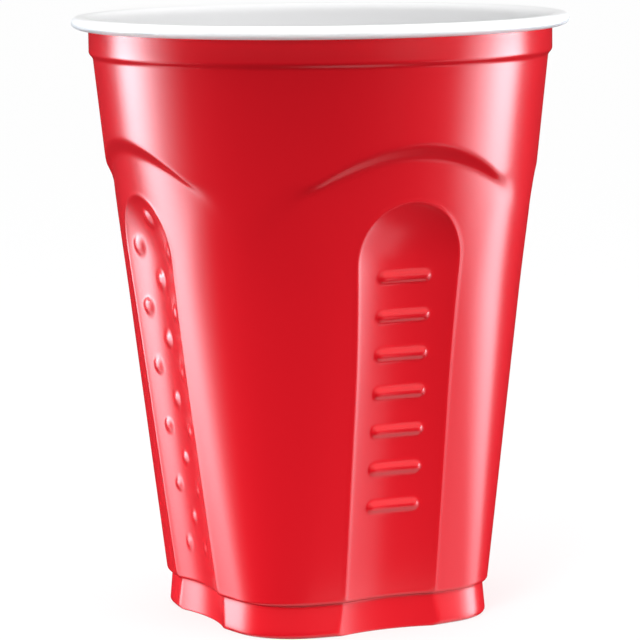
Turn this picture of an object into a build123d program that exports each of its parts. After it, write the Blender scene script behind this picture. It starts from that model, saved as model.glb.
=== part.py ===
from build123d import *
from math import asin, atan, degrees, sin, cos, sqrt
import os

# A thin-walled party cup, thermoformed in one piece: a round mouth with a rolled lip runs down into a
# squared body with four arched panels, four finger recesses and a stepped foot.
# The origin is the middle of the standing plane, +Z is up, and the panels face +X, +Y, -X and -Y.

# Driving dimensions, in millimetres
height = 120.0
wall = 0.6
overrun = 5.0

# Rolled lip: its edge lies inside the rim by the overhang, and stands off the band by the gap
rim_radius = 49.5
lip_overhang = 3.2
lip_gap = 0.2
lip_inner_round = 1.8
lip_outer_round = 1.3
lip_fall = 2.0

# Plain band from the lip down, and the step in from it to the cone
band_height = 7.2
step_height = 1.1
step_depth = 0.8

# Cone of the body: how much narrower it is at the standing plane, and its waist under the arches
cone_taper = 12.0
waist_drop = 6.9
waist_length = 20.0
waist_inset = 0.5

# Arched ledge over each panel, cut by a plane that slopes up and outwards to the arch's crown
arch_drop = 23.1
ledge_rise_share = 1.25

# Squared body from the crease over the foot to above the arches: its panels and corners are measured
# from the cone's radius at the standing plane and at the cone's top
crease_height = 6.6
core_rise = 1.1
panel_low_inset = 4.3
panel_high_inset = 3.5
panel_bow = 90.0
corner_low_outset = 0.25
corner_high_inset = 1.35

# Finger recess in each panel, a trough with a rounded upper end: its floor is measured in from the panel's
# low and high places, and starts to round outwards under the arch's crown
recess_radius = 28.0
recess_low_depth = 2.1
recess_high_depth = 6.9
recess_high_drop = 9.6
recess_end_drop = 20.3
recess_end_radius = 17.0
recess_mouth = 5.0

# Shoulder over the foot, foot ring and raised base
shoulder_overhang = 1.1
shoulder_round = 0.9
foot_flare = 0.5
foot_round = 0.9
foot_corner_round = 1.4
ring_width = 3.6
base_rise = 3.2
base_round = 0.8
base_corner_round = 2.4

# Raised dots in the recesses that face +X and -X, in three staggered columns that shrink downwards from
# a little above the start of the rounded end to a little above the crease
dot_rise = 4.4
dot_clear = 8.4
dot_column = 6.3
dot_count = 6
dot_large = 4.2
dot_small = 2.1
dot_height_share = 0.19

# Raised grip bars in the recesses that face +Y and -Y, between the rounded end and the crease
bar_drop = 5.6
bar_clear = 18.8
bar_count = 7
bar_width = 2.2
bar_length = 11.0
bar_height = 0.7

# Levels and radii worked out from the driving dimensions
quarter_turns = [0, 90, 180, 270]
lip_foot = height - lip_inner_round
lip_edge = rim_radius - lip_overhang
band_foot = height - band_height
band_radius = lip_edge - lip_gap
cone_top = band_foot - step_height
cone_top_radius = band_radius - step_depth
cone_base_radius = cone_top_radius - cone_taper
arch_crown = height - arch_drop
waist_high = arch_crown - waist_drop
waist_low = waist_high - waist_length
core_top = arch_crown + core_rise
panel_low = cone_base_radius - panel_low_inset
panel_high = cone_top_radius - panel_high_inset
corner_low = cone_base_radius + corner_low_outset
corner_high = cone_top_radius - corner_high_inset
recess_end = arch_crown - recess_end_drop
recess_high = recess_end - recess_high_drop
recess_floor_low = panel_low - recess_low_depth
recess_floor_high = panel_high - recess_high_depth
recess_slope = atan((recess_floor_high - recess_floor_low) / (recess_high - crease_height))
dot_top = recess_end + dot_rise
dot_pitch = (dot_top - crease_height - dot_clear) / (dot_count - 1 / 2)
bar_top = recess_end - bar_drop
bar_pitch = (bar_top - crease_height - bar_clear) / (bar_count - 1)


def cone_radius(level):
    """Radius of the plain cone at a level."""
    return cone_base_radius + (cone_top_radius - cone_base_radius) * level / cone_top


def side_plane(turn):
    """Upright plane through the axis and the middle of one side: x outwards, y up."""
    outwards = Vector(1, 0, 0).rotate(Axis.Z, turn)
    sideways = Vector(0, -1, 0).rotate(Axis.Z, turn)
    return Plane((0, 0, 0), x_dir=outwards, z_dir=sideways)


def recess_plane(turn, level):
    """Plane across a recess where its floor passes a level: x sideways, y outwards, z up the floor."""
    side = side_plane(turn)
    straight_level = min(level, recess_end)
    floor = recess_floor_low + (straight_level - crease_height) * sin(recess_slope) / cos(recess_slope)
    up_the_floor = side.x_dir * sin(recess_slope) + side.y_dir * cos(recess_slope)
    origin = side.from_local_coords(Vector(floor, straight_level, 0))
    straight = Plane(origin, x_dir=side.z_dir, z_dir=up_the_floor)
    # Above the trough the floor turns outwards about the pivot of the rounded end
    pivot = straight.from_local_coords(Vector(0, recess_end_radius, 0))
    end_turn = degrees(asin((level - straight_level) / recess_end_radius))
    turned = Plane(pivot, x_dir=straight.x_dir, z_dir=straight.z_dir).rotated((-end_turn, 0, 0))
    origin = turned.from_local_coords(Vector(0, -recess_end_radius, 0))
    return Plane(origin, x_dir=turned.x_dir, z_dir=turned.z_dir)


def bowed_square(panel, corner, inset):
    """Draws a square with bowed sides and round corners tangent to them, drawn in by the inset."""
    side_centre = panel - panel_bow
    corner_radius = (panel_bow**2 - side_centre**2 - corner**2 + sqrt(2) * side_centre * corner) / (
        2 * panel_bow - 2 * corner + sqrt(2) * side_centre
    )
    across = (corner - corner_radius) / sqrt(2)
    join_angle = degrees(atan(across / (across - side_centre)))
    for turn in quarter_turns:
        side_middle = Vector(side_centre, 0).rotate(Axis.Z, turn)
        corner_middle = Vector(across, across).rotate(Axis.Z, turn)
        CenterArc(side_middle, panel_bow - inset, turn - join_angle, 2 * join_angle)
        CenterArc(corner_middle, corner_radius - inset, turn + join_angle, 90 - 2 * join_angle)


def squared_core(inset):
    """The squared form that the panels are cut down to, from the crease to above the arches."""
    with BuildPart() as core:
        with BuildSketch(Plane.XY.offset(crease_height)):
            with BuildLine():
                bowed_square(panel_low, corner_low, inset)
            make_face()
        with BuildSketch(Plane.XY.offset(core_top)):
            with BuildLine():
                bowed_square(panel_high, corner_high, inset)
            make_face()
        loft(ruled=True)
    return core.part


def panel_cuts(inset):
    """What the four panels take off the cone: all outside the core and below the sloping ledges."""
    core = squared_core(inset)
    crown_radius = cone_radius(arch_crown)
    crown_height = arch_crown + inset * sqrt(1 + ledge_rise_share**2)
    inner = panel_low / 2
    outer = rim_radius
    with BuildPart() as cuts:
        for turn in quarter_turns:
            with BuildSketch(side_plane(turn)):
                Polygon(
                    (inner, crease_height),
                    (outer, crease_height),
                    (outer, crown_height + ledge_rise_share * (outer - crown_radius)),
                    (inner, crown_height + ledge_rise_share * (inner - crown_radius)),
                    align=None,
                )
            extrude(amount=panel_high, both=True)
        add(core, mode=Mode.SUBTRACT)
    return cuts.part


def recess_cuts(inset):
    """The four finger recesses: a trough of round section that turns outwards at its upper end."""
    reach = recess_radius + inset
    half_mouth = sqrt(reach**2 - (recess_radius - recess_mouth) ** 2)
    with BuildPart() as cuts:
        for turn in quarter_turns:
            across = recess_plane(turn, recess_end)
            with BuildSketch(across) as section:
                with BuildLine():
                    ThreePointArc((-half_mouth, recess_mouth), (0, -inset), (half_mouth, recess_mouth))
                    Line((half_mouth, recess_mouth), (-half_mouth, recess_mouth))
                make_face()
            extrude(amount=-recess_end)
            pivot = across.from_local_coords(Vector(0, recess_end_radius, 0))
            revolve(section.sketch, axis=Axis(pivot, -across.x_dir), revolution_arc=90)
    return cuts.part


def body(inset, top):
    """Cone, band and squared body from the crease to the given top, drawn in by the inset."""
    panels = panel_cuts(inset)
    recesses = recess_cuts(inset)
    floor = crease_height + inset
    with BuildPart() as shell:
        with BuildSketch(Plane.XZ):
            Polygon(
                (0, floor),
                (cone_radius(crease_height) - waist_inset - inset, floor),
                (cone_radius(waist_low) - waist_inset - inset, waist_low),
                (cone_radius(waist_high) - inset, waist_high),
                (cone_top_radius - inset, cone_top),
                (band_radius - inset, band_foot),
                (band_radius - inset, top),
                (0, top),
                align=None,
            )
        revolve(axis=Axis.Z)
        add(panels, mode=Mode.SUBTRACT)
        add(recesses, mode=Mode.SUBTRACT)
        fillet(shell.faces().sort_by(Axis.Z)[0].edges(), radius=shoulder_round - inset)
    return shell.part


def foot_outline(level, inset, corner_round):
    """Face at a level: the body's outline at the crease, with its recesses, drawn in by the inset."""
    with BuildSketch(Plane.XY.offset(level)) as outline:
        with BuildLine():
            bowed_square(panel_low, corner_low, inset)
        make_face()
        with PolarLocations(recess_floor_low + recess_radius, len(quarter_turns)):
            Circle(recess_radius + inset, mode=Mode.SUBTRACT)
        ridges = outline.vertices().group_by(lambda vertex: min(abs(vertex.X), abs(vertex.Y)))[0]
        fillet(ridges, radius=corner_round)
    return outline.sketch


def foot(inset):
    """The foot under the shoulder: it flares a little to its rounded lower edge."""
    foot_top = crease_height + inset + shoulder_round
    upper = foot_outline(foot_top, shoulder_overhang + inset, foot_corner_round - inset)
    lower = foot_outline(inset, shoulder_overhang - foot_flare + inset, foot_corner_round - inset)
    with BuildPart() as block:
        loft(sections=[lower, upper], ruled=True)
        fillet(block.faces().sort_by(Axis.Z)[0].edges(), radius=foot_round - inset)
    return block.part


def base_hollow(inset):
    """The hollow that lifts the base off the table inside the foot ring, grown by the inset."""
    outline = foot_outline(-overrun, shoulder_overhang + ring_width - inset, base_corner_round)
    with BuildPart() as hollow:
        extrude(outline, amount=overrun + base_rise + inset)
        fillet(hollow.faces().sort_by(Axis.Z)[-1].edges(), radius=base_round + inset)
    return hollow.part


def dot_positions():
    """Level, sideways place and width of each dot in a recess."""
    drop = (dot_count - 1) * dot_pitch + dot_pitch / 2
    for column in (-1, 0, 1):
        for row in range(dot_count):
            fall = row * dot_pitch + abs(column) * dot_pitch / 2
            yield dot_top - fall, column * dot_column, dot_large - (dot_large - dot_small) * fall / drop


def dots(inset):
    """Rounded dots in two facing recesses, each part of a ball sunk under the recess's skin."""
    with BuildPart() as bumps:
        for turn in quarter_turns[0::2]:
            for level, sideways, width in dot_positions():
                rise = width * dot_height_share
                ball = (width**2 / 4 + rise**2) / (2 * rise)
                angle = asin(sideways / recess_radius)
                reach = recess_radius + ball - rise
                middle = Vector(reach * sin(angle), recess_radius - reach * cos(angle), 0)
                with Locations(recess_plane(turn, level).from_local_coords(middle)):
                    Sphere(ball - inset)
    return bumps.part


def bars(inset):
    """Round-ended bars across the other two recesses, each bent to follow the recess's section."""
    section_radius = (bar_width**2 / 4 + bar_height**2) / (2 * bar_height)
    reach = recess_radius + section_radius - bar_height
    half_angle = (bar_length - bar_width) / 2 / recess_radius
    trough_axis = Vector(0, recess_radius, 0)
    ends = [trough_axis + Vector(reach * sin(a), -reach * cos(a), 0) for a in (-half_angle, half_angle)]
    with BuildPart() as bar:
        with BuildSketch(Plane(ends[0], x_dir=(0, 0, 1), z_dir=(cos(half_angle), -sin(half_angle), 0))):
            Circle(section_radius - inset)
        revolve(axis=Axis(trough_axis, (0, 0, 1)), revolution_arc=2 * degrees(half_angle))
        with Locations(*ends):
            Sphere(section_radius - inset)
    places = [
        recess_plane(turn, bar_top - row * bar_pitch)
        for turn in quarter_turns[1::2]
        for row in range(bar_count)
    ]
    with BuildPart() as bumps:
        with Locations(*places):
            add(bar.part)
    return bumps.part


def envelope(inset, top):
    """The whole cup below the lip as a filled form, drawn in by the inset all over."""
    main_form = body(inset, top)
    additions = [foot(inset), dots(inset), bars(inset)]
    hollow = base_hollow(inset)
    with BuildPart() as form:
        add(main_form)
        add(additions)
        add(hollow, mode=Mode.SUBTRACT)
    return form.part


outer_form = envelope(0, lip_foot)
inner_form = envelope(wall, lip_foot + overrun)
lip_inside = band_radius - wall
lip_middle = height - lip_outer_round

with BuildPart() as cup:
    add(outer_form)
    add(inner_form, mode=Mode.SUBTRACT)

    # Rolled lip: over the crest, out to the rim, and back under to just short of the band
    with BuildSketch(Plane.XZ):
        with BuildLine():
            inner_bend = Vector(lip_inside + lip_inner_round, lip_foot)
            outer_bend = Vector(rim_radius - lip_outer_round, lip_middle)
            roll = Vector(lip_edge, lip_middle)
            skin_in = CenterArc(inner_bend, lip_inner_round, 180, -90)
            skin_out = CenterArc(outer_bend, lip_outer_round, 90, -90)
            skin_roll = EllipticalCenterArc(roll, lip_overhang, lip_fall, 0, arc_size=-90)
            back_in = CenterArc(inner_bend, lip_inner_round - wall, 180, -90)
            back_out = CenterArc(outer_bend, lip_outer_round - wall, 90, -90)
            back_roll = EllipticalCenterArc(roll, lip_overhang - wall, lip_fall - wall, 0, arc_size=-90)
            Line(skin_in @ 1, skin_out @ 0)
            Line(back_in @ 1, back_out @ 0)
            Line(skin_roll @ 1, back_roll @ 1)
            Line(skin_in @ 0, back_in @ 0)
        make_face()
    revolve(axis=Axis.Z)

cup.part.label = "cup"
os.makedirs("parts", exist_ok=True)
export_step(cup.part, "parts/cup.step")
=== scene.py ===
"""Looks of a formed party cup, red outside and white inside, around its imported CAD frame.

The cup is one closed shell worked out as a grid. Columns run round the cup. Rows follow the sheet from the
middle of the base's underside, out under the foot, up the outside, over the rolled lip and down the inside.
"""

import logging
import math
from dataclasses import dataclass
from enum import Enum

import bpy
import numpy as np
from mathutils import Matrix, Vector

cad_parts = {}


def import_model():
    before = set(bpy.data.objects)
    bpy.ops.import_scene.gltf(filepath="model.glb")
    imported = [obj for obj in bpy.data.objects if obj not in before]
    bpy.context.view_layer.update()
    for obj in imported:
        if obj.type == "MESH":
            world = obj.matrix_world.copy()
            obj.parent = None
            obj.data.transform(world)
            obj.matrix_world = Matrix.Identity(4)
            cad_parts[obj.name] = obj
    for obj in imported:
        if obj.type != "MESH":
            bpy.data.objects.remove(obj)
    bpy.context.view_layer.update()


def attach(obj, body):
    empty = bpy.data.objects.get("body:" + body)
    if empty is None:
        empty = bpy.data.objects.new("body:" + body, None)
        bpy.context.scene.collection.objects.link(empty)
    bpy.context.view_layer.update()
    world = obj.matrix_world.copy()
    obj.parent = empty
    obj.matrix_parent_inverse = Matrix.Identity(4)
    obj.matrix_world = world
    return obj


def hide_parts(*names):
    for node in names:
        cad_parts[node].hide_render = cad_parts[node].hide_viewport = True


LOG = logging.getLogger("cup")
MM = 0.001
QUARTER = math.pi / 2
EIGHTH = math.pi / 4
HALVINGS = 40
LEDGE_PASSES = 12
LEAST_LEDGE = 0.001

Tree = bpy.types.NodeTree
Socket = bpy.types.NodeSocket


class Layer(Enum):
    """Which layer of the sheet a face of the shell shows, by its material's place on the mesh."""

    RED = 0
    WHITE = 1


class Grip(Enum):
    """What stands up in a finger recess, by the sides that have it, counted in quarter turns from +X."""

    DOTS = (0, 2)
    BARS = (1, 3)


def smooth_step(x: np.ndarray) -> np.ndarray:
    """Eased ramp: three x squared less two x cubed, held at 0 and 1 outside."""
    held = np.clip(x, 0.0, 1.0)
    return held * held * (3.0 - 2.0 * held)


def soft_min(a: np.ndarray, b: np.ndarray, width: float) -> np.ndarray:
    """Lesser of two values, less a parabola where they differ by under the width, which rounds the meeting.

    Args:
        a: first values.
        b: second values.
        width: difference at which the rounding starts.

    Returns:
        The rounded lesser values.
    """
    lap = np.clip(1.0 - np.abs(a - b) / width, 0.0, None)
    return np.minimum(a, b) - lap * lap * width / 4.0


def soft_clamp(x: np.ndarray, width: float) -> np.ndarray:
    """Holds x between 0 and 1, with both bends rounded over the width."""
    return soft_min(-soft_min(-x, np.zeros_like(x), width), np.ones_like(x), width)


def bend(
    middle: tuple[float, float], radii: tuple[float, float], start: float, stop: float, count: int
) -> np.ndarray:
    """Points on an ellipse's arc: its middle plus each radius times the angle's cosine and sine.

    Args:
        middle: the ellipse's middle, across and up.
        radii: its two half axes, across and up.
        start: first angle in degrees.
        stop: last angle in degrees.
        count: number of points, both ends included.

    Returns:
        One line of two coordinates for each point.
    """
    angle = np.radians(np.linspace(start, stop, count))
    return np.stack([middle[0] + radii[0] * np.cos(angle), middle[1] + radii[1] * np.sin(angle)], 1)


def placed(name: str, data: bpy.types.ID) -> bpy.types.Object:
    """Makes an object of its data and links it to the scene."""
    made = bpy.data.objects.new(name, data)
    bpy.context.scene.collection.objects.link(made)
    return made


@dataclass
class Rows:
    """A run of rows of the grid: angle from the side's middle, radius and level of each point."""

    turn: np.ndarray
    radius: np.ndarray
    level: np.ndarray
    layer: Layer


@dataclass
class CupShell:
    """The formed sheet: its sizes in millimetres, its grid and its mesh."""

    height: float = 120.0
    wall: float = 0.6

    # Rolled lip
    rim_radius: float = 49.5
    lip_edge: float = 46.3
    lip_inner_round: float = 1.8
    lip_outer_round: float = 1.3
    lip_fall: float = 1.35

    # Round top: upright band, step and cone
    band_radius: float = 46.1
    band_foot: float = 112.8
    step_height: float = 0.95
    step_ease: float = 0.35
    cone_top_radius: float = 45.3
    cone_base_radius: float = 33.3

    # Squared body: corners drawn in at the waist, and bowed panels
    waist_inset: float = 0.5
    waist_low: float = 64.0
    waist_high: float = 92.0
    crease: float = 6.6
    core_top: float = 98.0
    panel_low: float = 29.0
    panel_high: float = 42.05
    panel_bow_low: float = 90.0
    panel_bow_high: float = 49.0
    panel_bow_power: float = 1.22

    # Arched ledge over each panel, which fades between two angles in degrees, and the rows that hang with it
    arch_crown: float = 96.9
    ledge_rise: float = 1.29
    ledge_ease: float = 0.2
    ledge_fade: float = 6.5
    ledge_lift: float = 2.0
    ledge_fade_from: float = 25.0
    ledge_fade_to: float = 39.0
    follow_low: float = 65.0
    follow_full: float = 91.0
    follow_over: float = 3.0

    # Finger recess, its rounded end, and the ridge and bead along its edge
    recess_radius: float = 33.0
    recess_floor_low: float = 26.99
    recess_floor_high: float = 35.33
    recess_high: float = 67.0
    recess_sag: float = 0.37
    recess_sag_from: float = 45.0
    recess_sag_span: float = 25.0
    recess_end: float = 73.5
    recess_end_radius: float = 24.0
    recess_end_share: float = 0.999
    ridge_follow: float = 9.6
    ridge_return: float = 9.0
    recess_ridge: float = 0.25
    bead_height: float = 0.13
    bead_width: float = 0.18
    bead_place: float = 0.02

    # Shoulder, foot ring and raised base
    shoulder_overhang: float = 1.1
    shoulder_round: float = 0.9
    neck_round: float = 0.2
    foot_flare: float = 0.5
    foot_round: float = 0.9
    foot_ridge: float = 0.14
    ring_width: float = 3.6
    ring_edge_round: float = 0.3
    base_rise: float = 3.2
    base_round: float = 0.8
    base_ridge: float = 2.4
    base_shares: tuple[float, ...] = (0.06, 0.25, 0.5, 0.75, 0.93)
    upright_from: float = 0.15
    upright_to: float = 0.9
    upright_rows: int = 4

    # Raised dots and bars
    dot_top: float = 81.0
    dot_pitch: float = 12.0
    dot_column: float = 7.2
    dot_count: int = 6
    dot_large: float = 3.95
    dot_small: float = 2.1
    dot_height_share: float = 0.15
    dot_steepness: float = 0.8
    bar_top: float = 71.0
    bar_pitch: float = 7.6
    bar_count: int = 7
    bar_width: float = 2.2
    bar_length: float = 11.0
    bar_height: float = 0.7
    bar_steepness: float = 0.9
    grip_spread_share: float = 0.54

    # Columns of the grid, and how they crowd at the ridges
    recess_columns: int = 43
    recess_crowding: float = 0.3
    corner_columns: int = 16
    corner_crowding: float = 1.6

    # Rows of the outside: their density, and how far from a place it holds
    outer_rows: int = 168
    row_samples: int = 6000
    ledge_density: float = 1.4
    ledge_reach_down: float = 5.0
    ledge_reach_up: float = 3.0
    cone_density: float = 0.25
    detail_density: float = 0.8
    end_reach: float = 5.0
    bar_reach: float = 0.75

    # Rows of the band: those over its step, and those above
    step_rows: int = 9
    step_reach_down: float = 0.3
    step_reach_up: float = 0.4
    band_rows: int = 3
    band_rows_over_foot: float = 1.5
    band_rows_under_lip: float = 0.6

    # Rows of the inside, by their height over the ledge's crown
    inner_rows: int = 38
    inner_cone_rows: int = 5
    inner_cone_end: float = 2.0
    inner_ledge_rows: int = 11
    inner_ledge_top: float = 1.0
    inner_ledge_end: float = -9.0
    inner_body_top: float = -11.0

    @property
    def cone_top(self) -> float:
        """Level where the cone ends under the band's step."""
        return self.band_foot - self.step_height

    @property
    def floor_slope(self) -> float:
        """How far a recess's floor leans out for each millimetre up."""
        return (self.recess_floor_high - self.recess_floor_low) / (self.recess_high - self.crease)

    @property
    def shoulder(self) -> float:
        """Level where the body's wall ends and the shoulder's bend starts."""
        return self.crease + self.shoulder_round

    def cone(self, level: np.ndarray) -> np.ndarray:
        """Radius of the plain cone: a straight line from the standing plane to the step."""
        spread = self.cone_top_radius - self.cone_base_radius
        return self.cone_base_radius + spread * level / self.cone_top

    def banded(self, level: np.ndarray) -> np.ndarray:
        """Radius of the round top: the cone, eased over the step's height to the upright band."""
        cone = self.cone(level)
        share = soft_clamp((level - self.cone_top) / self.step_height, self.step_ease)
        return cone + (self.band_radius - cone) * share

    def squared(self, turn: np.ndarray, level: np.ndarray, inset: np.ndarray) -> np.ndarray:
        """Radius of a square with bowed sides and round corners that touch them smoothly.

        Each side is an arc of the bow's radius through the panel's middle. Each corner is the arc that
        touches two sides and passes the corner's radius on the diagonal: the cone's, less the waist.

        Args:
            turn: angle from the middle of the nearest side.
            level: height over the standing plane.
            inset: how far the outline is drawn in.

        Returns:
            The radius at each place.
        """
        along = (level - self.crease) / (self.core_top - self.crease)
        panel = self.panel_low + (self.panel_high - self.panel_low) * along
        waist = smooth_step((level - self.waist_low) / (self.waist_high - self.waist_low))
        corner = self.cone(level) - self.waist_inset * (1.0 - waist)
        bow = self.panel_bow_low + (self.panel_bow_high - self.panel_bow_low) * along**self.panel_bow_power
        root = math.sqrt(2.0)
        middle = panel - bow
        gap = bow**2 - middle**2 - corner**2 + root * middle * corner
        round_off = gap / (2 * (bow - corner) + root * middle)
        across = (corner - round_off) / root
        reach = (bow - inset) / np.hypot(across - middle, across)
        join = np.arctan2(across * reach, middle + (across - middle) * reach)
        off = np.abs(turn)
        side = middle * np.cos(off) + np.sqrt((bow - inset) ** 2 - (middle * np.sin(off)) ** 2)
        left = (round_off - inset) ** 2 - (root * across * np.sin(EIGHTH - off)) ** 2
        rounded = root * across * np.cos(EIGHTH - off) + np.sqrt(np.clip(left, 0.0, None))
        return np.where(off < join, side, rounded)

    def recess(self, turn: np.ndarray, level: np.ndarray, inset: np.ndarray) -> np.ndarray:
        """Radius of a recess's trough: a round section about an upright line outside the cup.

        The line stands off by the trough's radius and the floor's place. The floor is straight, sags by a
        square towards its top, and over the rounded end swings out on a circle of the end's radius.

        Args:
            turn: angle from the middle of the nearest side.
            level: height over the standing plane.
            inset: how far the trough's wall is drawn in.

        Returns:
            The radius at each place, and a far one where the trough isn't met.
        """
        over = np.clip(level - self.recess_end, 0.0, self.recess_end_share * self.recess_end_radius)
        sag = np.clip(level - self.recess_sag_from, 0.0, None) / self.recess_sag_span
        floor = self.recess_floor_low + self.floor_slope * (level - self.crease) - self.recess_sag * sag**2
        floor = floor + self.recess_end_radius - np.sqrt(self.recess_end_radius**2 - over**2)
        line = self.recess_radius + floor
        left = (self.recess_radius + inset) ** 2 - (line * np.sin(turn)) ** 2
        met = line * np.cos(turn) - np.sqrt(np.clip(left, 0.0, None))
        return np.where(left > 0.0, met, 2.0 * self.rim_radius)

    def corner_share(self, turn: np.ndarray) -> np.ndarray:
        """How far the ledge has faded at an angle: 0 over the panel, easing to 1 at the corner."""
        span = self.ledge_fade_to - self.ledge_fade_from
        return smooth_step((np.degrees(np.abs(turn)) - self.ledge_fade_from) / span)

    def ledge_middle(self, turn: np.ndarray, radius: np.ndarray) -> np.ndarray:
        """Level of the ledge's sloping plane at an angle and radius, with its lift towards the corners."""
        plane = self.arch_crown - self.ledge_rise * (self.cone(self.arch_crown) - radius * np.cos(turn))
        return plane + self.ledge_lift * self.corner_share(turn)

    def walls(self, turn: np.ndarray, level: np.ndarray) -> np.ndarray:
        """Radius of the skin without its grips: squared body, ledge up to the cone, and recesses.

        The ledge is the stretch where a plane that slopes up and outwards passes from the squared body to
        the cone. Its height is the depth it bridges times its slope. Towards the corners it fades into a
        taller and higher blend. A low bead runs along a recess's edge: a bell curve of the step between
        the body and the trough.

        Args:
            turn: angle from the middle of the nearest side.
            level: height over the standing plane.

        Returns:
            The radius at each place.
        """
        upper = self.cone(level) + 0.0 * turn
        lower = np.minimum(self.squared(turn, level, 0.0), upper)
        depth = upper - lower
        middle = self.ledge_middle(turn, (upper + lower) / 2.0)
        tall = np.hypot(self.ledge_rise * depth * np.cos(turn), self.ledge_fade * self.corner_share(turn))
        share = soft_clamp((level - middle) / np.maximum(tall, LEAST_LEDGE) + 0.5, self.ledge_ease)
        body, trough = lower + depth * share, self.recess(turn, level, 0.0)
        bead = np.exp(-(((trough - body - self.bead_place) / self.bead_width) ** 2))
        return soft_min(body, trough, self.recess_ridge) + self.bead_height * bead

    def dots(self, across: np.ndarray, level: np.ndarray) -> np.ndarray:
        """Height of the dots over a recess's floor: a power of one less the squared share of their radius.

        The dots get smaller downwards. The outer columns draw in with them, and stand half a pitch lower.

        Args:
            across: distance from the recess's middle line, along its section.
            level: height over the standing plane.

        Returns:
            How far the dots stand out at each place.
        """
        out = np.zeros_like(level)
        fall_range = (self.dot_count - 0.5) * self.dot_pitch
        for column in (-1, 0, 1):
            for row in range(self.dot_count):
                fall = (row + abs(column) / 2.0) * self.dot_pitch
                width = self.dot_large - (self.dot_large - self.dot_small) * fall / fall_range
                aside = column * self.dot_column * width / self.dot_large
                place = self.recess_radius * math.asin(aside / self.recess_radius)
                middle = self.dot_top - fall
                swing = math.asin(max(middle - self.recess_end, 0.0) / self.recess_end_radius)
                up = (level - middle) / math.cos(math.atan(self.floor_slope) + swing)
                gone = ((across - place) ** 2 + up**2) / (self.grip_spread_share * width) ** 2
                out += width * self.dot_height_share * np.clip(1.0 - gone, 0.0, None) ** self.dot_steepness
        return out

    def bars(self, across: np.ndarray, level: np.ndarray) -> np.ndarray:
        """Height of the round-ended bars: a power of one less the squared share of half their width.

        Args:
            across: distance from the recess's middle line, along its section.
            level: height over the standing plane.

        Returns:
            How far the bars stand out at each place.
        """
        out = np.zeros_like(level)
        straight = (self.bar_length - self.bar_width) / 2.0
        past_end = np.clip(np.abs(across) - straight, 0.0, None)
        for row in range(self.bar_count):
            up = (level - self.bar_top + row * self.bar_pitch) * math.hypot(1.0, self.floor_slope)
            gone = (past_end**2 + up**2) / (self.grip_spread_share * self.bar_width) ** 2
            out += self.bar_height * np.clip(1.0 - gone, 0.0, None) ** self.bar_steepness
        return out

    def skin(self, quarter: np.ndarray, turn: np.ndarray, level: np.ndarray) -> np.ndarray:
        """Radius of the red skin: its walls, with dots or bars standing out in the recesses.

        Args:
            quarter: number of the side that each column belongs to.
            turn: angle from the middle of that side.
            level: height over the standing plane.

        Returns:
            The radius at each place.
        """
        radius = self.walls(turn, level)
        sideways = np.clip(radius * np.sin(turn) / self.recess_radius, -1.0, 1.0)
        across = self.recess_radius * np.arcsin(sideways)
        raised = {Grip.DOTS: self.dots(across, level), Grip.BARS: self.bars(across, level)}
        for grip, height in raised.items():
            radius = radius + np.where(np.isin(quarter, grip.value), height, 0.0)
        return radius

    def ridge_turn(self, level: np.ndarray) -> np.ndarray:
        """Angle of the ridge between a recess and its panel, found by halving.

        It is followed some way round the recess's end, and over that eases back to its angle under it.

        Args:
            level: height over the standing plane.

        Returns:
            The angle at each level.
        """
        top = self.recess_end + self.ridge_follow
        held = np.append(np.minimum(level, top), self.recess_end - self.ridge_follow)
        low, high = np.zeros_like(held), np.full_like(held, EIGHTH / 2)
        for _ in range(HALVINGS):
            middle = (low + high) / 2.0
            inside = self.recess(middle, held, 0.0) < self.squared(middle, held, 0.0)
            low, high = np.where(inside, middle, low), np.where(inside, high, middle)
        found, wide = low[:-1].reshape(level.shape), low[-1]
        return found + (wide - found) * smooth_step((level - top) / self.ridge_return)

    def columns(self) -> tuple[np.ndarray, np.ndarray]:
        """Columns round the cup, closer together by the ridges: a sine between them, and a power outside.

        Returns:
            Side number of each column, and its place: -1 to 1 between the ridges, and 2 at the corner.
        """
        squeeze = self.recess_crowding * math.pi
        inner = np.sin(np.linspace(-squeeze, squeeze, self.recess_columns)) / math.sin(squeeze)
        outer = 1.0 + (np.arange(1, self.corner_columns + 1) / self.corner_columns) ** self.corner_crowding
        place = np.concatenate([-outer[::-1], inner, outer[:-1]])
        return np.repeat(np.arange(4), place.size), np.tile(place, 4)

    def turns(self, place: np.ndarray, level: np.ndarray) -> np.ndarray:
        """Angle from the side's middle of each column at each row's level, with one column on each ridge.

        Args:
            place: place of each column, from -2 to 2.
            level: level of each row, or of each row's points.

        Returns:
            A row of angles for each level.
        """
        ridge = self.ridge_turn(level)
        past = np.clip(np.abs(place) - 1.0, 0.0, None)
        return np.clip(place, -1.0, 1.0) * ridge + np.sign(place) * past * (EIGHTH - ridge)

    def hung(self, place: np.ndarray, levels: np.ndarray) -> np.ndarray:
        """Levels of the points of the wall's rows: those near the ledge hang with it, the rest are level.

        The ledge's line is found by putting its own level back into the plane a few times.

        Args:
            place: place of each column.
            levels: level of each row at the middle of a side.

        Returns:
            A row of levels for each row.
        """
        turn = self.turns(place, np.array([[self.arch_crown]]))
        line = np.full_like(turn, self.arch_crown)
        for _ in range(LEDGE_PASSES):
            upper = self.cone(line)
            lower = np.minimum(self.squared(turn, line, 0.0), upper)
            line = self.ledge_middle(turn, (upper + lower) / 2.0)
        below = smooth_step((levels - self.follow_low) / (self.follow_full - self.follow_low))
        start, stop = self.arch_crown + self.follow_over, self.cone_top - self.step_height
        above = smooth_step((levels - start) / (stop - start))
        return levels[:, None] + (below - above)[:, None] * (line - line.max())

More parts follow.
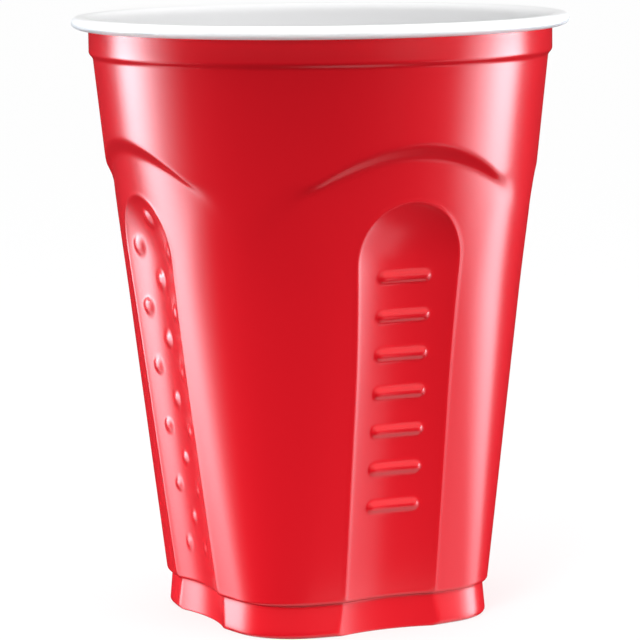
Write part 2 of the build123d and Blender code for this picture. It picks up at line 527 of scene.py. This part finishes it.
    def outer_levels(self) -> np.ndarray:
        """Levels of the outside's rows, at even shares of a density that is summed up the wall.

        The density is high at the bars, the recess's rounded end and the ledge, and low on the cone above.

        Returns:
            The levels, from the shoulder to just under the band's step.
        """
        fine = np.linspace(self.shoulder, self.cone_top - self.step_height / 2, self.row_samples)
        ledge_low = self.arch_crown - self.ledge_reach_down
        ledge_high = self.arch_crown + self.ledge_reach_up
        upper = np.where(fine < ledge_high, self.ledge_density, self.cone_density)
        density = np.where(fine < ledge_low, 1.0, upper)
        from_end = np.abs(fine - self.recess_end - self.ridge_follow)
        density += self.detail_density * (from_end < self.end_reach)
        for row in range(self.bar_count):
            from_bar = np.abs(fine - self.bar_top + row * self.bar_pitch)
            density += self.detail_density * (from_bar < self.bar_reach * self.bar_width)
        count = np.cumsum(density)
        return np.interp(np.linspace(count[0], count[-1], self.outer_rows), count, fine)

    def band_levels(self) -> np.ndarray:
        """Levels of the band's rows: close over its step, and wide above.

        Returns:
            The levels, up to the lip.
        """
        step_low, step_high = self.cone_top - self.step_reach_down, self.band_foot + self.step_reach_up
        low = self.band_foot + self.band_rows_over_foot
        high = self.height - self.lip_inner_round - self.band_rows_under_lip
        step = np.linspace(step_low, step_high, self.step_rows)
        return np.concatenate([step, np.linspace(low, high, self.band_rows)])

    def inner_levels(self, top: float) -> np.ndarray:
        """Levels of the inside's rows: even on the cone, closer at the ledge, and even down the body.

        Args:
            top: level of the first row.

        Returns:
            The levels, down to the shoulder.
        """
        crown = self.arch_crown
        ledge_top, ledge_end = crown + self.inner_ledge_top, crown + self.inner_ledge_end
        body_rows = self.inner_rows - self.inner_cone_rows - self.inner_ledge_rows
        cone = np.linspace(top, crown + self.inner_cone_end, self.inner_cone_rows)
        ledge = np.linspace(ledge_top, ledge_end, self.inner_ledge_rows)
        body = np.linspace(crown + self.inner_body_top, self.shoulder, body_rows)
        return np.concatenate([cone, ledge, body])

    def foot_path(self, depth: float) -> np.ndarray:
        """Path of the sheet from the base's middle, out under the foot and up to the shoulder.

        Each bend has one middle for both faces of the sheet, so its radius grows or shrinks with the depth.

        Args:
            depth: how deep under the outer face the path runs: 0, or the wall for the inner face.

        Returns:
            One line for each row: how far the panels' outline over the foot is drawn in, the level, how far
            the recesses' is drawn in, which doesn't flare, the width over which the outline's ridges are
            rounded, and the share of the outline's radius that is left.
        """
        ring = self.shoulder_overhang + self.ring_width
        low_inset = self.shoulder_overhang - self.foot_flare
        edge = max(self.ring_edge_round, depth)
        neck = self.shoulder_overhang - self.neck_round
        foot_top = self.crease - self.neck_round
        hollow_middle = (ring + self.base_round, self.base_rise - self.base_round)
        panel = np.tile([hollow_middle[0], self.base_rise + depth], (len(self.base_shares), 1))
        swell = self.base_round + depth
        hollow = bend(hollow_middle, (swell, swell), start=90, stop=180, count=6)
        fold = edge - depth
        inner_edge = bend((ring - edge, edge), (fold, fold), start=0, stop=-90, count=4)
        turn_up = self.foot_round - depth
        lower_middle = (low_inset + self.foot_round, self.foot_round)
        lower = bend(lower_middle, (turn_up, turn_up), start=270, stop=180, count=6)
        rise = np.linspace(self.upright_from, self.upright_to, self.upright_rows)[:, None]
        upright = lower[-1] + rise * (np.array([self.shoulder_overhang + depth, foot_top]) - lower[-1])
        tuck = self.neck_round + depth
        under = bend((neck, foot_top), (tuck, tuck), start=0, stop=90, count=4)
        over = self.shoulder_round - depth
        shoulder = bend((self.shoulder_round, self.shoulder), (over, over), start=265, stop=190, count=5)
        path = np.concatenate([panel, hollow, inner_edge, lower, upright, under, shoulder])
        underside = len(panel) + len(hollow) + len(inner_edge)
        sides = slice(underside, underside + len(lower) + len(upright))
        trough = path[:, 0].copy()
        trough[sides] = np.maximum(trough[sides], self.shoulder_overhang + depth)
        ridge = np.full(len(path), self.foot_ridge)
        ridge[:underside] = self.base_ridge
        ridge[-len(shoulder) :] = np.linspace(self.foot_ridge, self.recess_ridge, len(shoulder) + 1)[1:]
        share = np.ones(len(path))
        share[: len(panel)] = self.base_shares
        return np.column_stack([path, trough, ridge, share])

    def foot_block(self, place: np.ndarray, depth: float) -> tuple[np.ndarray, np.ndarray, np.ndarray]:
        """Angles, radii and levels of the foot's rows: the shoulder's outline, drawn in along a path.

        Args:
            place: place of each column.
            depth: how deep under the outer face the rows run.

        Returns:
            The three arrays, one line for each row.
        """
        path = self.foot_path(depth)
        inset, level, trough, ridge, share = (path[:, i : i + 1] for i in range(path.shape[1]))
        turn = np.repeat(self.turns(place, np.array([[self.shoulder]])), len(path), 0)
        at = np.full_like(turn, self.shoulder)
        outline = soft_min(self.squared(turn, at, inset), self.recess(turn, at, trough), ridge)
        return turn, outline * share, level + 0.0 * turn

    def lip_path(self) -> tuple[np.ndarray, np.ndarray]:
        """Section of the rolled lip: the red back of the roll up to its edge, and the white front over it.

        Returns:
            Radius and level of each row of the back, and of the front.
        """
        inner = (self.band_radius - self.wall + self.lip_inner_round, self.height - self.lip_inner_round)
        outer = (self.rim_radius - self.lip_outer_round, self.height - self.lip_outer_round)
        roll = (self.lip_edge, outer[1])
        reach = self.rim_radius - self.lip_edge
        r_in, r_out, thin = self.lip_inner_round, self.lip_outer_round, self.wall
        back = [
            bend(inner, (r_in - thin, r_in - thin), start=180, stop=90, count=5),
            bend(outer, (r_out - thin, r_out - thin), start=90, stop=0, count=4),
            bend(roll, (reach - thin, self.lip_fall - thin), start=0, stop=-90, count=7)[1:],
        ]
        front = [
            bend(roll, (reach, self.lip_fall), start=-90, stop=0, count=9),
            bend(outer, (r_out, r_out), start=0, stop=90, count=7)[1:],
            bend(inner, (r_in, r_in), start=90, stop=180, count=8),
        ]
        return np.concatenate(back), np.concatenate(front)

    def round_rows(self, place: np.ndarray, path: np.ndarray, layer: Layer) -> Rows:
        """Rows of a round stretch: the same radius and level all round."""
        turn = self.turns(place, path[:, 1:])
        return Rows(turn, path[:, :1] + 0.0 * turn, path[:, 1:] + 0.0 * turn, layer)

    def blocks(self, quarter: np.ndarray, place: np.ndarray) -> list[Rows]:
        """The runs of rows in order, from the underside's middle to the inside's middle.

        Args:
            quarter: side number of each column.
            place: place of each column.

        Returns:
            The runs of rows.
        """
        levels = self.outer_levels()
        level = self.hung(place, levels)
        turn = self.turns(place, level)
        outside = Rows(turn, self.skin(quarter[None, :], turn, level), level, Layer.RED)
        band = self.band_levels()
        band_back = np.column_stack([self.banded(band), band])
        band_front = np.column_stack([self.banded(band) - self.wall, band])[::-1]
        back, front = self.lip_path()
        inner_level = self.hung(place, self.inner_levels(levels[-1]))
        inner_turn = self.turns(place, inner_level)
        inside = self.walls(inner_turn, inner_level) - self.wall
        inner_foot = [array[::-1] for array in self.foot_block(place, self.wall)]
        return [
            Rows(*self.foot_block(place, 0.0), Layer.RED),
            outside,
            self.round_rows(place, band_back, Layer.RED),
            self.round_rows(place, back, Layer.RED),
            self.round_rows(place, front, Layer.WHITE),
            self.round_rows(place, band_front, Layer.WHITE),
            Rows(inner_turn, inside, inner_level, Layer.WHITE),
            Rows(*inner_foot, Layer.WHITE),
        ]

    def mesh(self, name: str) -> bpy.types.Mesh:
        """Joins the rows to one closed mesh: quads between rows, wrapped round, and a fan at each pole.

        Args:
            name: the mesh's name.

        Returns:
            The mesh, with its faces' layers set and shaded smooth.
        """
        quarter, place = self.columns()
        blocks = self.blocks(quarter, place)
        turn = np.concatenate([b.turn for b in blocks]) + quarter * QUARTER
        radius = np.concatenate([b.radius for b in blocks])
        level = np.concatenate([b.level for b in blocks])
        layer = np.concatenate([np.full(len(b.radius), b.layer.value) for b in blocks])
        rows, count = radius.shape
        grid = np.stack([radius * np.cos(turn), radius * np.sin(turn), level], -1).reshape(-1, 3)
        poles = np.array([[0.0, 0.0, level[0, 0]], [0.0, 0.0, level[-1, 0]]])
        points = np.concatenate([grid, poles]) * MM
        index = np.arange(rows * count).reshape(rows, count)
        after = np.roll(index, -1, axis=1)
        quads = np.stack([index[:-1], after[:-1], after[1:], index[1:]], -1).reshape(-1, 4)
        below = np.stack([np.full(count, rows * count), after[0], index[0]], -1)
        above = np.stack([np.full(count, rows * count + 1), index[-1], after[-1]], -1)
        faces = np.concatenate([quads.ravel(), below.ravel(), above.ravel()])
        sizes = np.concatenate([np.full(len(quads), 4), np.full(2 * count, 3)])
        shown = np.concatenate([np.repeat(layer[1:], count), np.repeat(layer[[0, -1]], count)])
        shell = bpy.data.meshes.new(name)
        shell.vertices.add(len(points))
        shell.vertices.foreach_set("co", points.ravel())
        shell.loops.add(len(faces))
        shell.loops.foreach_set("vertex_index", faces.astype(np.int32))
        shell.polygons.add(len(sizes))
        starts = np.concatenate([[0], np.cumsum(sizes)[:-1]])
        shell.polygons.foreach_set("loop_start", starts.astype(np.int32))
        shell.polygons.foreach_set("material_index", shown.astype(np.int32))
        shell.polygons.foreach_set("use_smooth", np.ones(len(sizes), dtype=bool))
        shell.update(calc_edges=True)
        shell.validate()
        LOG.info("%s: %d rows by %d columns, %d faces", name, rows, count, len(sizes))
        return shell

    def build(self, finishes: dict[Layer, bpy.types.Material]) -> None:
        """Makes the shell's object, dresses it and sets it in the CAD part's place.

        Args:
            finishes: the material of each layer.
        """
        mesh = self.mesh("cup_shell")
        for layer in Layer:
            mesh.materials.append(finishes[layer])
        shell = placed("cup_shell", mesh)
        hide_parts("cup")
        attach(shell, "root")


def worked(tree: Tree, operation: str, *values: Socket | float) -> Socket:
    """Adds a Math node: a value that is a number is set, and one that is a socket is joined.

    Args:
        tree: the tree to add to.
        operation: what the node works out.
        values: its values, in order.

    Returns:
        The node's result.
    """
    node = tree.nodes.new("ShaderNodeMath")
    node.operation = operation
    for place, value in zip(node.inputs, values):
        if isinstance(value, float):
            place.default_value = value
        else:
            tree.links.new(value, place)
    return node.outputs[0]


class FormedSheet:
    """Shared node group: what drawing a warm sheet over a mould leaves in its tone, gloss and ripple."""

    NAME = "formed_sheet"
    TONE_SCALE = 28.0
    TONE_DETAIL = 2.0
    DRAW_STRETCH = (320.0, 320.0, 14.0)
    DRAW_SCALE = 1.0
    DRAW_DETAIL = 3.0
    RIPPLE_SCALE = 130.0
    RIPPLE_DETAIL = 1.0
    RIPPLE_DEPTH = 0.1 * MM

    @classmethod
    def group(cls) -> Tree:
        """Builds the group once: tone from broad noise, gloss from draw lines and ripple from fine noise.

        Returns:
            The group's tree.
        """
        if cls.NAME in bpy.data.node_groups:
            return bpy.data.node_groups[cls.NAME]
        tree = bpy.data.node_groups.new(cls.NAME, "ShaderNodeTree")
        sockets = tree.interface
        sockets.new_socket("Colour", in_out="INPUT", socket_type="NodeSocketColor")
        for label in ("Tone", "Roughness", "Haze", "Ripple"):
            sockets.new_socket(label, in_out="INPUT", socket_type="NodeSocketFloat")
        sockets.new_socket("Colour", in_out="OUTPUT", socket_type="NodeSocketColor")
        sockets.new_socket("Roughness", in_out="OUTPUT", socket_type="NodeSocketFloat")
        sockets.new_socket("Normal", in_out="OUTPUT", socket_type="NodeSocketVector")
        add, join = tree.nodes.new, tree.links.new
        given, out = add("NodeGroupInput"), add("NodeGroupOutput")
        place = add("ShaderNodeTexCoord").outputs["Object"]
        broad = cls.noise(tree, place, cls.TONE_SCALE, cls.TONE_DETAIL)
        stretch = add("ShaderNodeMapping")
        stretch.inputs["Scale"].default_value = cls.DRAW_STRETCH
        join(place, stretch.inputs["Vector"])
        lines = cls.noise(tree, stretch.outputs["Vector"], cls.DRAW_SCALE, cls.DRAW_DETAIL)
        ripple = cls.noise(tree, place, cls.RIPPLE_SCALE, cls.RIPPLE_DETAIL)
        tone = cls.about_one(tree, broad, given.outputs["Tone"])
        shade = add("ShaderNodeHueSaturation")
        join(given.outputs["Colour"], shade.inputs["Color"])
        join(tone, shade.inputs["Value"])
        join(shade.outputs["Color"], out.inputs["Colour"])
        haze = cls.about_one(tree, lines, given.outputs["Haze"])
        join(worked(tree, "MULTIPLY", given.outputs["Roughness"], haze), out.inputs["Roughness"])
        bump = add("ShaderNodeBump")
        bump.inputs["Distance"].default_value = cls.RIPPLE_DEPTH
        join(given.outputs["Ripple"], bump.inputs["Strength"])
        join(ripple, bump.inputs["Height"])
        join(bump.outputs["Normal"], out.inputs["Normal"])
        return tree

    @staticmethod
    def noise(tree: Tree, place: Socket, scale: float, detail: float) -> Socket:
        """Adds a noise texture that reads a place.

        Args:
            tree: the tree to add to.
            place: the coordinates it reads.
            scale: features for each unit of those coordinates.
            detail: octaves of finer noise.

        Returns:
            The texture's value.
        """
        texture = tree.nodes.new("ShaderNodeTexNoise")
        texture.inputs["Scale"].default_value = scale
        texture.inputs["Detail"].default_value = detail
        tree.links.new(place, texture.inputs["Vector"])
        return texture.outputs["Fac"]

    @staticmethod
    def about_one(tree: Tree, value: Socket, spread: Socket) -> Socket:
        """Turns a noise value into a factor: one plus the spread times the value's distance from a half.

        Args:
            tree: the tree to add to.
            value: noise from 0 to 1.
            spread: how strongly the noise shows.

        Returns:
            The factor.
        """
        centred = worked(tree, "SUBTRACT", value, 0.5)
        return worked(tree, "MULTIPLY_ADD", centred, spread, 1.0)


@dataclass(frozen=True)
class Plastic:
    """A layer of the formed sheet: its colour, and how its tone, gloss and smoothness vary."""

    name: str
    colour: tuple[float, float, float]
    roughness: float
    tone: float
    haze: float
    ripple: float
    ior: float

    def material(self) -> bpy.types.Material:
        """Makes the layer's material from the shared group and a plastic shader.

        Returns:
            The material.
        """
        made = bpy.data.materials.new(self.name)
        made.use_nodes = True
        tree = made.node_tree
        shader = tree.nodes["Principled BSDF"]
        sheet = tree.nodes.new("ShaderNodeGroup")
        sheet.node_tree = FormedSheet.group()
        sheet.inputs["Colour"].default_value = (*self.colour, 1.0)
        sheet.inputs["Tone"].default_value = self.tone
        sheet.inputs["Roughness"].default_value = self.roughness
        sheet.inputs["Haze"].default_value = self.haze
        sheet.inputs["Ripple"].default_value = self.ripple
        shader.inputs["IOR"].default_value = self.ior
        for source, target in (("Colour", "Base Color"), ("Roughness", "Roughness"), ("Normal", "Normal")):
            tree.links.new(sheet.outputs[source], shader.inputs[target])
        LOG.info("finish %s", self.name)
        return made


RED_LAYER = Plastic(
    name="red_layer", colour=(0.76, 0.009, 0.018), roughness=0.24,
    tone=0.04, haze=0.12, ripple=0.04, ior=1.5,
)
WHITE_LAYER = Plastic(
    name="white_layer", colour=(0.92, 0.92, 0.925), roughness=0.3,
    tone=0.012, haze=0.12, ripple=0.04, ior=1.5,
)


@dataclass
class Camera:
    """The photograph's view: where the camera stands, in millimetres, and how it is held, in degrees."""

    away: float = 707.0
    high: float = 154.5
    bearing: float = 25.9
    pitch: float = 7.735
    roll: float = 0.607
    aside: float = 0.053
    lens: float = 199.46
    sensor: float = 36.0
    nearest: float = 10.0

    def axes(self) -> tuple[Vector, Vector, Vector]:
        """Works out how the camera is held: pitched down, turned aside a little, and rolled.

        Returns:
            Its right, up and forward.
        """
        bearing, pitch = math.radians(self.bearing), math.radians(self.pitch)
        level = Vector((math.sin(bearing), math.cos(bearing), 0.0))
        forward = level * math.cos(pitch) - Vector((0.0, 0.0, math.sin(pitch)))
        right = forward.cross(Vector((0.0, 0.0, 1.0))).normalized()
        up = right.cross(forward)
        aside, roll = math.radians(self.aside), math.radians(self.roll)
        forward, right = (
            forward * math.cos(aside) - right * math.sin(aside),
            right * math.cos(aside) + forward * math.sin(aside),
        )
        rolled_right = right * math.cos(roll) - up * math.sin(roll)
        rolled_up = up * math.cos(roll) + right * math.sin(roll)
        return rolled_right, rolled_up, forward

    def build(self) -> None:
        """Makes the scene's camera: it stands off at its bearing, and its axes are its turn's columns."""
        data = bpy.data.cameras.new("photo_view")
        data.sensor_fit = "HORIZONTAL"
        data.sensor_width = self.sensor
        data.lens = self.lens
        data.clip_start = self.nearest * MM
        camera = placed("photo_view", data)
        right, up, forward = self.axes()
        turn = Matrix((right, up, -forward)).transposed()
        bearing = math.radians(self.bearing)
        stand = Vector((-self.away * math.sin(bearing), -self.away * math.cos(bearing), self.high)) * MM
        camera.matrix_world = Matrix.Translation(stand) @ turn.to_4x4()
        bpy.context.scene.camera = camera
        LOG.info("camera at %.3f, %.3f, %.3f m", *stand)


Stops = tuple[tuple[float, float], ...]
EVEN: Stops = ((0.0, 1.0), (1.0, 1.0))


def grey_ramp(tree: Tree, value: Socket, stops: Stops) -> Socket:
    """Adds a ramp of greys: straight lines between its stops.

    Args:
        tree: the tree to add to.
        value: the share that it reads.
        stops: share and strength of each stop, in order.

    Returns:
        The ramp's grey.
    """
    ramp = tree.nodes.new("ShaderNodeValToRGB")
    points = ramp.color_ramp.elements
    for share, _ in stops[1:-1]:
        points.new(share)
    for point, (share, level) in zip(points, stops):
        point.position = share
        point.color = (level, level, level, 1.0)
    tree.links.new(value, ramp.inputs["Fac"])
    return ramp.outputs["Color"]


@dataclass(frozen=True)
class Softbox:
    """A lamp panel that faces the cup, from one bearing to another off the camera's side, left positive.

    Its place is in metres, and its aim tilts it up, in degrees. Its glow may change, given as stops of
    share and strength: across it, from its first bearing to its second, and up it, from its lower edge.
    """

    name: str
    first: float
    second: float
    away: float
    low: float
    high: float
    radiance: float
    across: Stops = EVEN
    upright: Stops = EVEN
    colour: tuple[float, float, float] = (1.0, 1.0, 1.0)
    aim: float = 0.0
    spread: float = 180.0
    gloss: bool = True

    def build(self, camera_bearing: float) -> None:
        """Makes the lamp: its power is its radiance times its area times pi.

        Args:
            camera_bearing: the camera's bearing in degrees.
        """
        data = bpy.data.lights.new(self.name, "AREA")
        data.shape = "RECTANGLE"
        data.size = 2.0 * self.away * math.tan(math.radians(abs(self.first - self.second) / 2.0))
        data.size_y = self.high - self.low
        data.energy = self.radiance * data.size * data.size_y * math.pi
        data.spread = math.radians(self.spread)
        data.color = self.colour
        self.glow(data)
        lamp = placed(self.name, data)
        bearing = math.radians(camera_bearing + (self.first + self.second) / 2.0)
        side = Vector((-math.sin(bearing), -math.cos(bearing), 0.0))
        lamp.location = side * self.away + Vector((0.0, 0.0, (self.low + self.high) / 2.0))
        tilt = Vector((0.0, 0.0, math.tan(math.radians(self.aim))))
        lamp.rotation_euler = (tilt - side).to_track_quat("-Z", "Y").to_euler()
        lamp.visible_camera = False
        lamp.visible_glossy = self.gloss
        LOG.info("lamp %s", self.name)

    def glow(self, data: bpy.types.Light) -> None:
        """Shades the panel: its stops across times its stops up it.

        Args:
            data: the lamp to shade.
        """
        data.use_nodes = True
        tree = data.node_tree
        add, join = tree.nodes.new, tree.links.new
        place = add("ShaderNodeSeparateXYZ")
        join(add("ShaderNodeNewGeometry").outputs["Parametric"], place.inputs[0])
        across = grey_ramp(tree, place.outputs["X"], self.across)
        upright = grey_ramp(tree, place.outputs["Y"], self.upright)
        join(worked(tree, "MULTIPLY", across, upright), tree.nodes["Emission"].inputs["Strength"])


LEFT_GLOW: Stops = (
    (0.0, 0.1), (0.08, 0.4), (0.2, 0.9), (0.32, 1.0), (0.45, 0.85),
    (0.58, 0.45), (0.7, 0.2), (0.85, 0.06), (1.0, 0.0),
)
RIGHT_GLOW: Stops = (
    (0.0, 0.0), (0.17, 0.22), (0.35, 0.48), (0.5, 0.75),
    (0.6, 1.0), (0.8, 0.9), (0.94, 0.75), (1.0, 0.4),
)
UP_GLOW: Stops = (
    (0.0, 0.2), (0.36, 0.26), (0.46, 0.31), (0.54, 0.56),
    (0.66, 0.82), (0.78, 1.0), (0.86, 1.5), (1.0, 1.7),
)
LOW_GLOW: Stops = ((0.0, 0.3), (0.3, 1.0), (0.75, 1.0), (1.0, 0.5))
COOL = (0.9, 1.0, 1.09)
SOFTBOXES = (
    Softbox(
        name="left_strip", first=122.0, second=70.0, away=0.6, low=-0.45, high=0.1, radiance=10.5,
        across=LEFT_GLOW, upright=UP_GLOW, colour=COOL,
    ),
    Softbox(
        name="right_strip", first=-70.0, second=-115.0, away=0.6, low=-0.45, high=0.1, radiance=10.5,
        across=RIGHT_GLOW, upright=UP_GLOW, colour=COOL,
    ),
    Softbox(
        name="right_low", first=-60.0, second=-78.0, away=0.6, low=-0.45, high=-0.17, radiance=1.1,
        across=LOW_GLOW, colour=COOL,
    ),
    Softbox(
        name="left_fill", first=122.0, second=70.0, away=0.6, low=-0.45, high=-0.25, radiance=3.8,
        gloss=False,
    ),
    Softbox(
        name="right_fill", first=-33.0, second=-69.0, away=0.7, low=0.03, high=0.38, radiance=2.6,
        gloss=False, aim=-10.0,
    ),
    Softbox(
        name="low_fill", first=42.0, second=2.0, away=0.45, low=0.16, high=0.3, radiance=0.64,
        gloss=False, aim=-29.0, spread=26.0,
    ),
    Softbox(
        name="lip_light", first=5.3, second=-5.3, away=0.6, low=0.1168, high=0.1212, radiance=0.5,
        gloss=False, spread=0.6,
    ),
)


@dataclass(frozen=True)
class TableGlow:
    """A round pale patch of table by the cup, for what mirrors it from above: its place is in metres."""

    name: str = "table_glow"
    ahead: float = 0.025
    aside: float = 0.02
    below: float = 0.02
    radius: float = 0.05
    radiance: float = 1.3

    def build(self, camera_bearing: float) -> None:
        """Makes the patch: a disc that shines up, as strong as its radiance times its area times pi.

        Args:
            camera_bearing: the camera's bearing in degrees.
        """
        data = bpy.data.lights.new(self.name, "AREA")
        data.shape = "DISK"
        data.size = 2.0 * self.radius
        data.energy = self.radiance * math.pi * self.radius**2 * math.pi
        lamp = placed(self.name, data)
        bearing = math.radians(camera_bearing)
        near = Vector((-math.sin(bearing), -math.cos(bearing), 0.0))
        right = Vector((math.cos(bearing), -math.sin(bearing), 0.0))
        lamp.location = near * self.ahead + right * self.aside - Vector((0.0, 0.0, self.below))
        lamp.rotation_euler = (math.pi, 0.0, 0.0)
        lamp.visible_camera = False
        lamp.visible_diffuse = False
        LOG.info("lamp %s", self.name)


@dataclass
class Studio:
    """Pale floor, soft sky and lamp panels."""

    floor_half: float = 8.0
    floor_colour: tuple[float, float, float] = (0.93, 0.93, 0.93)
    floor_roughness: float = 0.9
    floor_shine: float = 0.7
    sky_level: float = 0.3
    sky_top: float = 1.4
    under_level: float = 0.02
    horizon: float = 0.5
    under_horizon: float = 0.49

    def floor(self) -> None:
        """Makes the pale floor: paint that takes the cup's shadow, under a share of white for the eye."""
        mesh = bpy.data.meshes.new("floor")
        corners = self.floor_half * np.array([[-1, -1, 0], [1, -1, 0], [1, 1, 0], [-1, 1, 0]])
        mesh.from_pydata(corners.tolist(), [], [(0, 1, 2, 3)])
        paint = bpy.data.materials.new("pale_floor")
        paint.use_nodes = True
        tree = paint.node_tree
        shader = tree.nodes["Principled BSDF"]
        shader.inputs["Base Color"].default_value = (*self.floor_colour, 1.0)
        shader.inputs["Roughness"].default_value = self.floor_roughness
        shader.inputs["Specular IOR Level"].default_value = 0.0
        path = tree.nodes.new("ShaderNodeLightPath")
        seen = path.outputs["Is Camera Ray"]
        for label in ("Is Glossy Ray", "Is Transmission Ray"):
            seen = worked(tree, "MAXIMUM", seen, path.outputs[label])
        share = worked(tree, "MULTIPLY", seen, self.floor_shine)
        plain_white = tree.nodes.new("ShaderNodeEmission").outputs[0]
        both = tree.nodes.new("ShaderNodeMixShader")
        for place, value in zip(both.inputs, (share, shader.outputs[0], plain_white)):
            tree.links.new(value, place)
        tree.links.new(both.outputs[0], tree.nodes["Material Output"].inputs["Surface"])
        mesh.materials.append(paint)
        floor = placed("floor", mesh)
        floor.visible_glossy = False
        floor.visible_diffuse = False
        floor.visible_shadow = False

    def sky(self) -> None:
        """Makes the world's light: dim under the floor, and brighter from the horizon to overhead."""
        world = bpy.data.worlds.new("studio_sky")
        world.use_nodes = True
        tree = world.node_tree
        add, join = tree.nodes.new, tree.links.new
        parts = add("ShaderNodeSeparateXYZ")
        join(add("ShaderNodeTexCoord").outputs["Generated"], parts.inputs[0])
        spread = add("ShaderNodeMapRange")
        spread.inputs["From Min"].default_value = -1.0
        join(parts.outputs["Z"], spread.inputs["Value"])
        under, over = (self.under_horizon, self.under_level), (self.horizon, self.sky_level)
        stops = (under, over, (1.0, self.sky_top))
        join(grey_ramp(tree, spread.outputs["Result"], stops), tree.nodes["Background"].inputs["Color"])
        bpy.context.scene.world = world

    def build(self, camera: Camera) -> None:
        """Makes the floor, the sky and the lamps round the camera's bearing.

        Args:
            camera: the camera that the lamps are set out from.
        """
        self.floor()
        self.sky()
        for softbox in SOFTBOXES:
            softbox.build(camera.bearing)
        TableGlow().build(camera.bearing)


def main() -> None:
    """Builds the cup, the camera and the studio round the CAD frame."""
    logging.basicConfig(level=logging.INFO, format="%(name)s: %(message)s")
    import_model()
    finishes = {Layer.RED: RED_LAYER.material(), Layer.WHITE: WHITE_LAYER.material()}
    CupShell().build(finishes)
    camera = Camera()
    camera.build()
    Studio().build(camera)
    bpy.context.scene.view_settings.view_transform = "Standard"


if __name__ == "__main__":
    main()
